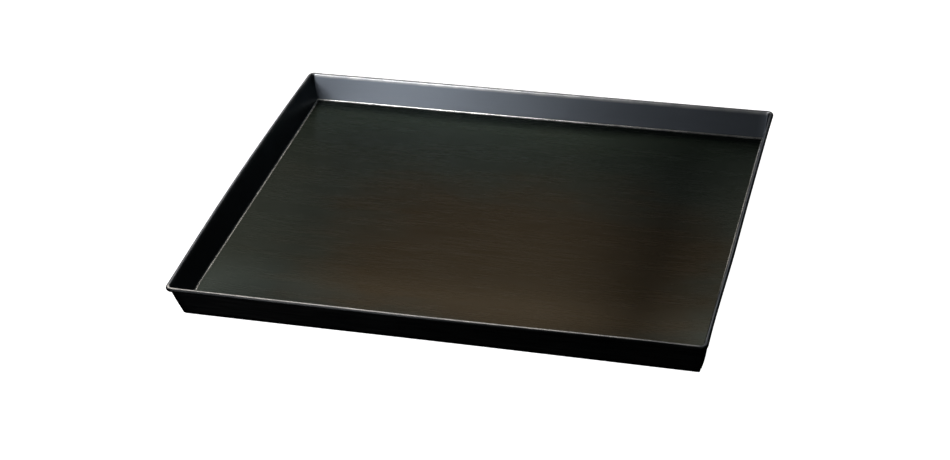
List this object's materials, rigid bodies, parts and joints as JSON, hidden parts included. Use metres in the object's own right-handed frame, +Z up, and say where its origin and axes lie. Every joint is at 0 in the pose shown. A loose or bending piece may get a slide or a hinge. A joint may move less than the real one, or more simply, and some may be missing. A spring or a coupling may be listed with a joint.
{
  "type": "baking tray",
  "caption": "Shallow rectangular oven baking tray folded from blued steel sheet, with flared walls and a rolled rim over a wire.",
  "frame": {"origin": "middle of the underside, on the surface the tray stands on", "axes": "+X along the long side, +Y towards the back, +Z up out of the tray"},
  "size_m": [0.455, 0.375, 0.03],
  "materials": {
    "blued_sheet": "blued, oiled satin with a fine rolling grain",
    "rim_wire": "drawn, grey"
  },
  "bodies": {
    "root": {"pan": "blued_sheet", "rim_wire": "rim_wire"}
  },
  "joints": []
}
